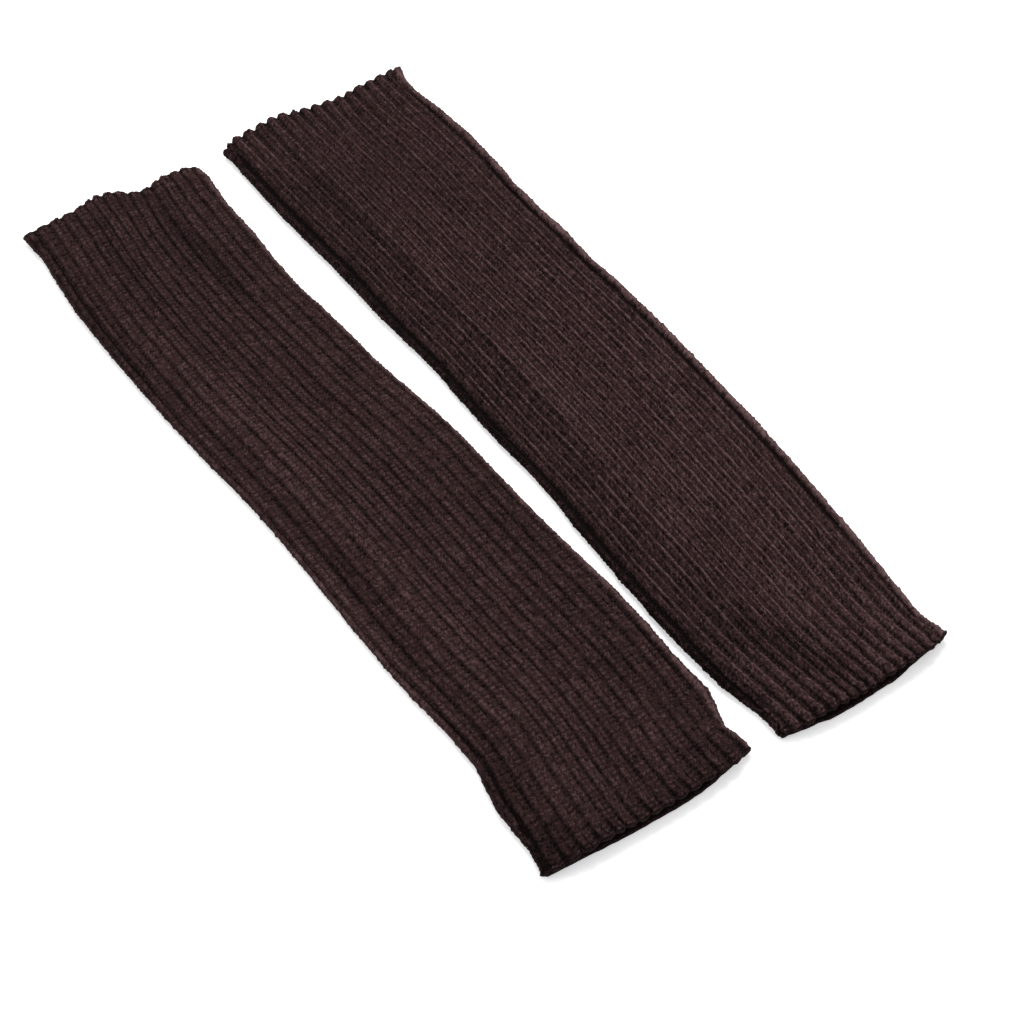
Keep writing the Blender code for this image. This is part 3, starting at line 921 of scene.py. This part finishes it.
def knit_object(warmer, settings):
    """The whole tube as one closed mesh."""
    solid = Solid(warmer.solid)
    outer, tone = knit_grid(warmer, solid, Ring(warmer), settings)
    inner = inside_grid(solid, outer)
    far_rim = rim(outer[:, -1], inner[:, 0], 1.0)
    near_rim = rim(inner[:, -1], outer[:, 0], -1.0)
    grid = np.concatenate([outer, far_rim, inner, near_rim], axis=1)
    lines, rings = grid.shape[:2]
    # the inside of the tube and its rims get one painted shade; the outer surface keeps its own tone
    shade = np.full((lines, rings), settings.inside_shade_tone)
    shade[:, : outer.shape[1]] = tone

    index = np.arange(lines * rings).reshape(lines, rings)
    beside = np.roll(index, -1, axis=0)
    faces = [index, beside, np.roll(beside, -1, axis=1), np.roll(index, -1, axis=1)]
    faces = np.stack(faces, axis=2).reshape(-1, 4)

    mesh = bpy.data.meshes.new(warmer.name)
    mesh.from_pydata((grid.reshape(-1, 3) * MM).tolist(), [], faces.tolist())
    mesh.update()
    attribute = mesh.attributes.new("tone", "FLOAT", "POINT")
    attribute.data.foreach_set("value", shade.astype(np.float32).ravel())
    uv = mesh.uv_layers.new(name="stitches")
    uv.data.foreach_set("uv", stitch_map(lines, rings, faces).astype(np.float32).ravel())
    mesh.shade_smooth()
    item = bpy.data.objects.new(warmer.name, mesh)
    bpy.context.scene.collection.objects.link(item)
    return item


# ---------------------------------------------------------------------------------------------
# The finish
# ---------------------------------------------------------------------------------------------


# the patterns of the yarn, so many times to a metre
HEATHER_SCALE = 1100.0
PATCH_SCALE = 30.0
# pale fibres, brightened into painted glints
FIBRE_GLINT_SCALE = 2100.0
DULL_SCALE = 600.0
FUZZ_SCALE = 2600.0
STRAND_SCALE = (2.2, 8.0, 1.0)  # to a stitch and to a row
STRAND_TURN = 0.35
HEATHER_TONE = 0.30  # how much paler or darker the patterns make the yarn
PATCH_TONE = 0.03
STRAND_TONE = 0.10
STRAND_DEPTH = 0.00035
FUZZ_DEPTH = 0.0002


class NodeBench:
    """Adds shader nodes to a material and links them."""

    def __init__(self, name):
        self.material = bpy.data.materials.new(name)
        self.material.use_nodes = True
        self.tree = self.material.node_tree
        self.shader = self.tree.nodes["Principled BSDF"]

    def add(self, kind, **values):
        node = self.tree.nodes.new(kind)
        for name, value in values.items():
            setattr(node, name, value)
        return node

    def link(self, output, socket):
        self.tree.links.new(output, socket)

    def noise(self, coordinates, scale, detail=2.0, roughness=0.5):
        node = self.add("ShaderNodeTexNoise")
        node.inputs["Scale"].default_value = scale
        node.inputs["Detail"].default_value = detail
        node.inputs["Roughness"].default_value = roughness
        self.link(coordinates, node.inputs["Vector"])
        return node.outputs["Fac"]

    def ranged(self, value, low, high, to_low=0.0, to_high=1.0):
        node = self.add("ShaderNodeMapRange", clamp=True)
        node.inputs["From Min"].default_value = low
        node.inputs["From Max"].default_value = high
        node.inputs["To Min"].default_value = to_low
        node.inputs["To Max"].default_value = to_high
        self.link(value, node.inputs["Value"])
        return node.outputs["Result"]

    def sum(self, *values):
        total = values[0]
        for value in values[1:]:
            node = self.add("ShaderNodeMath", operation="ADD")
            self.link(total, node.inputs[0])
            self.link(value, node.inputs[1])
            total = node.outputs["Value"]
        return total

    def ramp(self, value, stops):
        """stops is ((place, colour), ...) from the darkest to the palest."""
        node = self.add("ShaderNodeValToRGB")
        elements = node.color_ramp.elements
        while len(elements) < len(stops):
            elements.new(1.0)
        for element, (place, colour) in zip(elements, stops):
            element.position = place
            element.color = (*colour, 1.0)
        self.link(value, node.inputs["Fac"])
        return node.outputs["Color"]

    def mixed(self, factor, first, second):
        node = self.add("ShaderNodeMix", data_type="RGBA")
        for socket, value in (("Factor", factor), ("A", first), ("B", second)):
            target = [item for item in node.inputs if item.name == socket and item.enabled][0]
            if isinstance(value, bpy.types.NodeSocket):
                self.link(value, target)
            else:
                target.default_value = value
        return [item for item in node.outputs if item.enabled][0]

    def stretched(self, coordinates, scale, turn=0.0):
        node = self.add("ShaderNodeMapping")
        node.inputs["Scale"].default_value = scale
        node.inputs["Rotation"].default_value = (0.0, 0.0, turn)
        self.link(coordinates, node.inputs["Vector"])
        return node.outputs["Vector"]

    def bump(self, height, strength, distance, before=None):
        node = self.add("ShaderNodeBump")
        node.inputs["Strength"].default_value = strength
        node.inputs["Distance"].default_value = distance
        self.link(height, node.inputs["Height"])
        if before is not None:
            self.link(before, node.inputs["Normal"])
        return node.outputs["Normal"]


def wool_material(name, settings):
    """Dark heathered wool yarn, with painted highlights on the crests of its loops and near black painted
    shade down in the gaps.
    """
    bench = NodeBench(name)
    place = bench.add("ShaderNodeTexCoord")
    solid_place = place.outputs["Object"]
    stitch_place = place.outputs["UV"]
    tone = bench.add("ShaderNodeAttribute", attribute_name="tone").outputs["Fac"]

    heather = bench.noise(solid_place, HEATHER_SCALE, 2.0, 0.6)
    heather = bench.ranged(heather, 0.25, 0.75, -HEATHER_TONE, HEATHER_TONE)
    patches = bench.ranged(bench.noise(solid_place, PATCH_SCALE), 0.3, 0.7, -PATCH_TONE, PATCH_TONE)
    strands = bench.noise(bench.stretched(stitch_place, STRAND_SCALE, STRAND_TURN), 1.0, 2.0, 0.6)
    strand_tone = bench.ranged(strands, 0.3, 0.7, -STRAND_TONE, STRAND_TONE)
    yarn = bench.ranged(bench.sum(tone, heather, patches, strand_tone), 0.0, CREST_HIGHLIGHT_TONE)
    # the tone runs from painted shade in the grooves, through the wool's own colour, to painted
    # highlights on the crests
    colour = bench.ramp(
        yarn,
        (
            (0.0, settings.groove_shade_colour),
            (0.4, settings.wool_colour),
            (1.0, settings.crest_highlight_colour),
        ),
    )
    # pale fibres in the yarn, brightened into painted glints of light
    fibre_glints = bench.ranged(bench.noise(solid_place, FIBRE_GLINT_SCALE, 2.0, 0.6), 0.66, 0.76, 0.0, 0.7)
    colour = bench.mixed(fibre_glints, colour, (*settings.fibre_glint_colour, 1.0))
    bench.link(colour, bench.shader.inputs["Base Color"])

    roughness = bench.ranged(bench.noise(solid_place, DULL_SCALE), 0.3, 0.7, 0.82, 1.0)
    bench.link(roughness, bench.shader.inputs["Roughness"])
    bench.shader.inputs["Sheen Weight"].default_value = settings.sheen
    bench.shader.inputs["Sheen Roughness"].default_value = 0.5
    bench.shader.inputs["Sheen Tint"].default_value = (0.8, 0.55, 0.55, 1.0)
    bench.shader.inputs["Specular IOR Level"].default_value = 0.04

    fuzz = bench.noise(solid_place, FUZZ_SCALE, 2.0, 0.7)
    normal = bench.bump(strands, 0.7, STRAND_DEPTH)
    normal = bench.bump(fuzz, 0.5, FUZZ_DEPTH, normal)
    bench.link(normal, bench.shader.inputs["Normal"])
    return bench.material


def floor_material(settings):
    bench = NodeBench("pale_floor")
    bench.shader.inputs["Base Color"].default_value = (*settings.floor_colour, 1.0)
    bench.shader.inputs["Roughness"].default_value = 0.9
    bench.shader.inputs["Specular IOR Level"].default_value = 0.1
    bench.shader.inputs["Emission Color"].default_value = (*settings.floor_colour, 1.0)
    bench.shader.inputs["Emission Strength"].default_value = settings.floor_glow
    return bench.material


# ---------------------------------------------------------------------------------------------
# What a user can change
# ---------------------------------------------------------------------------------------------


class KnitSettings(bpy.types.PropertyGroup):
    row_height: bpy.props.FloatProperty(
        name="Row Height",
        description="How far one row of stitches lies above the one below it",
        default=0.00235,
        min=0.0015,
        max=0.006,
        precision=5,
        unit="LENGTH",
    )
    rib_height: bpy.props.FloatProperty(
        name="Rib Height",
        description="How far the ribs stand above the grooves between them",
        default=0.0012,
        min=0.0,
        max=0.003,
        precision=5,
        unit="LENGTH",
    )
    stitch_depth: bpy.props.FloatProperty(
        name="Stitch Depth",
        description="How deep the hollows between the loops of yarn are",
        default=0.0003,
        min=0.0,
        max=0.001,
        precision=5,
        unit="LENGTH",
    )
    wool_colour: bpy.props.FloatVectorProperty(
        name="Wool",
        description="The yarn's main colour",
        default=(0.030, 0.0148, 0.0146),
        min=0.0,
        max=1.0,
        subtype="COLOR",
    )
    # painted shade: the near black given to the yarn down between the ribs
    groove_shade_colour: bpy.props.FloatVectorProperty(
        name="Grooves",
        description="The yarn's colour down between the ribs",
        default=(0.0028, 0.0013, 0.0012),
        min=0.0,
        max=1.0,
        subtype="COLOR",
    )
    # painted highlight: the pale colour given to the yarn on top of the loops
    crest_highlight_colour: bpy.props.FloatVectorProperty(
        name="Crests",
        description="The yarn's colour on top of the loops",
        default=(0.130, 0.075, 0.077),
        min=0.0,
        max=1.0,
        subtype="COLOR",
    )
    # pale fibres in the yarn, brightened into painted glints
    fibre_glint_colour: bpy.props.FloatVectorProperty(
        name="Fibres",
        description="Single pale fibres in the yarn",
        default=(0.15, 0.105, 0.10),
        min=0.0,
        max=1.0,
        subtype="COLOR",
    )
    sheen: bpy.props.FloatProperty(
        name="Sheen",
        description="The soft glow of standing fibres",
        default=0.03,
        min=0.0,
        max=1.0,
        subtype="FACTOR",
    )
    # painted shade inside the tube and round its rims
    inside_shade_tone: bpy.props.FloatProperty(
        name="Inside Tone",
        description="How pale the yarn is inside the tube, from the grooves' colour to the crests'",
        default=0.12,
        min=0.0,
        max=1.0,
        subtype="FACTOR",
    )


class StageSettings(bpy.types.PropertyGroup):
    floor_colour: bpy.props.FloatVectorProperty(
        name="Floor",
        description="Colour of the plain floor",
        default=(0.93, 0.925, 0.935),
        min=0.0,
        max=1.0,
        subtype="COLOR",
    )
    floor_glow: bpy.props.FloatProperty(
        name="Floor Glow",
        description="How much light the floor gives off itself, as a light table does",
        default=0.4,
        min=0.0,
        max=2.0,
    )
    key_power: bpy.props.FloatProperty(
        name="Softbox Power",
        description="Power of the large light behind the far ends, to the right",
        default=34.0,
        min=0.0,
        unit="POWER",
    )
    fill_power: bpy.props.FloatProperty(
        name="Fill Power",
        description="Power of the weaker light behind the left side",
        default=8.0,
        min=0.0,
        unit="POWER",
    )
    surround: bpy.props.FloatProperty(
        name="Surround",
        description="Brightness of the white room round the stage",
        default=0.7,
        min=0.0,
        max=3.0,
    )
    lens: bpy.props.FloatProperty(
        name="Lens",
        description="Focal length of the camera in millimetres",
        default=94.92,
        min=10.0,
        max=300.0,
    )
    azimuth: bpy.props.FloatProperty(
        name="Camera Azimuth",
        description="Turn of the camera round the pair, from straight in front of the near ends",
        default=math.radians(325.2),
        subtype="ANGLE",
    )
    elevation: bpy.props.FloatProperty(
        name="Camera Elevation",
        description="How far the camera looks down",
        default=math.radians(48.0),
        subtype="ANGLE",
    )
    distance: bpy.props.FloatProperty(
        name="Camera Distance",
        description="From the camera to the floor in the middle of the picture",
        default=1.1553,
        min=0.1,
        unit="LENGTH",
    )


# ---------------------------------------------------------------------------------------------
# The pieces and the stage. Sizes here are metres.
# ---------------------------------------------------------------------------------------------

LOOK_AT = Vector((-0.0127, -0.0553, 0.0))  # the point of the floor in the middle of the picture
FLOOR_HALF = 4.0
FLOOR_DROP = 0.0002  # the floor lies this far below the cloth, so that the two don't share a surface
SOFTBOX_PLACE = (0.5, 1.1, 1.9)
SOFTBOX_SIZE = (1.5, 1.0)
SOFTBOX_COLOUR = (1.0, 0.985, 0.98)
FILL_PLACE = (-1.3, 0.6, 1.5)
FILL_SIZE = (1.2, 1.2)
WHITE = (1.0, 1.0, 1.0)
SENSOR_WIDTH = 36.0  # of the camera, in millimetres


def finish_warmer(warmer, context):
    settings = context.scene.leg_warmer_knit
    item = knit_object(warmer, settings)
    item.data.materials.append(wool_material(warmer.solid + "_wool", settings))
    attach(item, "root")
    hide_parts(warmer.solid)
    return {"FINISHED"}


class LEGWARMERS_OT_left(bpy.types.Operator):
    """Knit the left leg warmer, which shows the face of the rib"""

    bl_idname = "leg_warmers.left"
    bl_label = "Knit Left Leg Warmer"

    def execute(self, context):
        return finish_warmer(LEFT, context)


class LEGWARMERS_OT_right(bpy.types.Operator):
    """Knit the right leg warmer, which is turned inside out"""

    bl_idname = "leg_warmers.right"
    bl_label = "Knit Right Leg Warmer"

    def execute(self, context):
        return finish_warmer(RIGHT, context)


def area_light(name, place, size, power, colour):
    light = bpy.data.lights.new(name, "AREA")
    light.shape = "RECTANGLE"
    light.size, light.size_y = size
    light.energy = power
    light.color = colour
    item = bpy.data.objects.new(name, light)
    item.location = place
    item.rotation_mode = "QUATERNION"
    item.rotation_quaternion = (-Vector(place)).to_track_quat("-Z", "Y")
    bpy.context.scene.collection.objects.link(item)
    return item


class LEGWARMERS_OT_stage(bpy.types.Operator):
    """Add the floor, the soft lights and the camera"""

    bl_idname = "leg_warmers.stage"
    bl_label = "Add Stage"

    def execute(self, context):
        settings = context.scene.leg_warmer_stage
        mesh = bpy.data.meshes.new("floor")
        corners = [(-1, -1), (1, -1), (1, 1), (-1, 1)]
        mesh.from_pydata([(x * FLOOR_HALF, y * FLOOR_HALF, 0.0) for x, y in corners], [], [(0, 1, 2, 3)])
        mesh.materials.append(floor_material(settings))
        floor = bpy.data.objects.new("floor", mesh)
        floor.location.z = -FLOOR_DROP
        context.scene.collection.objects.link(floor)

        area_light("softbox", SOFTBOX_PLACE, SOFTBOX_SIZE, settings.key_power, SOFTBOX_COLOUR)
        area_light("fill", FILL_PLACE, FILL_SIZE, settings.fill_power, WHITE)

        world = bpy.data.worlds.new("studio")
        world.use_nodes = True
        background = world.node_tree.nodes["Background"]
        background.inputs["Color"].default_value = (*WHITE, 1.0)
        background.inputs["Strength"].default_value = settings.surround
        context.scene.world = world
        context.scene.view_settings.view_transform = "Standard"

        camera = bpy.data.cameras.new("camera")
        camera.sensor_width = SENSOR_WIDTH
        camera.lens = settings.lens
        item = bpy.data.objects.new("camera", camera)
        flat = math.cos(settings.elevation)
        across = math.sin(settings.azimuth) * flat
        along = -math.cos(settings.azimuth) * flat
        back = Vector((across, along, math.sin(settings.elevation)))
        item.location = LOOK_AT + back * settings.distance
        item.rotation_mode = "QUATERNION"
        item.rotation_quaternion = (-back).to_track_quat("-Z", "Y")
        context.scene.collection.objects.link(item)
        context.scene.camera = item
        return {"FINISHED"}


class LEGWARMERS_PT_panel(bpy.types.Panel):
    """Builds the pair and its stage"""

    bl_label = "Leg Warmers"
    bl_idname = "LEGWARMERS_PT_panel"
    bl_space_type = "VIEW_3D"
    bl_region_type = "UI"
    bl_category = "Leg Warmers"

    def draw(self, context):
        layout = self.layout
        layout.use_property_split = True
        for settings in (context.scene.leg_warmer_knit, context.scene.leg_warmer_stage):
            box = layout.box()
            for name in settings.__annotations__:
                box.prop(settings, name)
        layout.operator(LEGWARMERS_OT_left.bl_idname)
        layout.operator(LEGWARMERS_OT_right.bl_idname)
        layout.operator(LEGWARMERS_OT_stage.bl_idname)


CLASSES = (
    KnitSettings,
    StageSettings,
    LEGWARMERS_OT_left,
    LEGWARMERS_OT_right,
    LEGWARMERS_OT_stage,
    LEGWARMERS_PT_panel,
)


def register():
    for item in CLASSES:
        bpy.utils.register_class(item)
    bpy.types.Scene.leg_warmer_knit = bpy.props.PointerProperty(type=KnitSettings)
    bpy.types.Scene.leg_warmer_stage = bpy.props.PointerProperty(type=StageSettings)


def unregister():
    del bpy.types.Scene.leg_warmer_stage
    del bpy.types.Scene.leg_warmer_knit
    for item in reversed(CLASSES):
        bpy.utils.unregister_class(item)


def main():
    register()
    bpy.ops.leg_warmers.left()
    bpy.ops.leg_warmers.right()
    bpy.ops.leg_warmers.stage()


if __name__ == "__main__":
    main()
